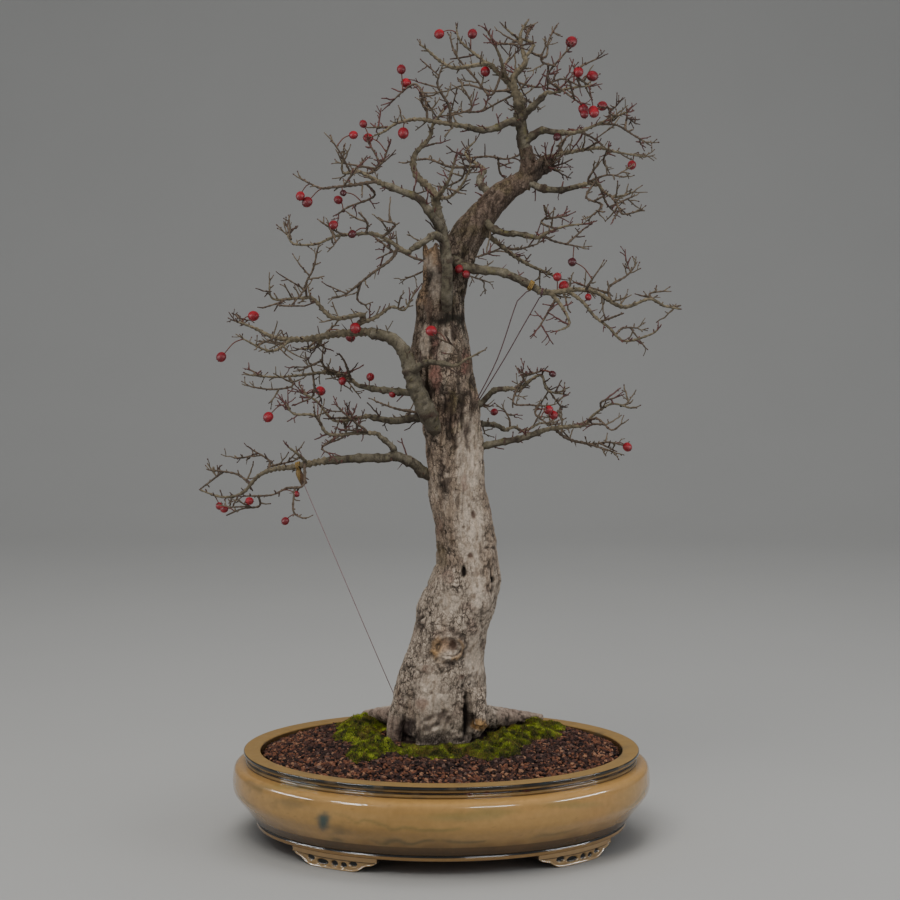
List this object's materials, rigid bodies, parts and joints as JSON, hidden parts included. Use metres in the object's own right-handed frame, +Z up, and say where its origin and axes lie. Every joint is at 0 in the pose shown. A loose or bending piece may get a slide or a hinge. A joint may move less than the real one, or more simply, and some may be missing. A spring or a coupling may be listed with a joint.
{
  "type": "bonsai tree",
  "caption": "Bare midland hawthorn bonsai with a curved tapering trunk, fine twigs and red haws, in an oval glazed pot.",
  "frame": {"origin": "middle of the whole plant's bounding box, on the ground under the pot's feet", "axes": "+Z up, X along the pot's length, -Y towards the front view of the tree"},
  "size_m": [0.4946, 0.3318, 0.8235],
  "materials": {
    "pot": "gloss",
    "soil": "matte",
    "moss": "matte",
    "trunk": "matte",
    "bough": "matte",
    "twigs": "matte",
    "sleeve": "satin",
    "string": "matte"
  },
  "bodies": {
    "root": {"pot": "pot", "soil": "soil", "moss_left": "moss", "moss_front": "moss", "moss_right": "moss", "trunk": "trunk", "bough_left_low": "bough", "bough_left_fifth": "bough", "bough_left_fourth": "bough", "bough_left_third": "bough", "bough_left_mid": "bough", "bough_front_stub": "bough", "bough_right_low": "bough", "bough_right_second": "bough", "bough_right_third": "bough", "bough_right_mid": "bough", "bough_right_upper": "bough", "bough_front": "bough", "bough_upper_left": "bough", "bough_upper_left_low": "bough", "bough_top": "bough", "bough_top_left": "bough", "bough_top_right": "bough", "bough_right_top": "bough", "bough_right_crown": "bough", "bough_back_low": "bough", "bough_back_mid": "bough", "bough_back_upper": "bough", "bough_top_back": "bough", "guy_sleeve_left": "sleeve", "guy_string_left": "string", "guy_string_right_upper": "string", "guy_string_right_lower": "string", "twigs_left_low": "twigs", "twigs_left_fifth": "twigs", "twigs_left_fourth": "twigs", "twigs_left_third": "twigs", "twigs_left_mid": "twigs", "twigs_front": "twigs", "twigs_right_low": "twigs", "twigs_right_second": "twigs", "twigs_right_third": "twigs", "twigs_right_mid": "twigs", "twigs_right_hanging": "twigs", "twigs_right_upper": "twigs", "twigs_upper_mid": "twigs", "twigs_upper_left": "twigs", "twigs_upper_left_low": "twigs", "twigs_top_left": "twigs", "twigs_top": "twigs", "twigs_top_right": "twigs", "twigs_right_top": "twigs", "twigs_trunk_tip": "twigs", "twigs_right_crown": "twigs", "twigs_back_low": "twigs", "twigs_back_mid": "twigs", "twigs_back_upper": "twigs", "twigs_top_back": "twigs"}
  },
  "joints": []
}
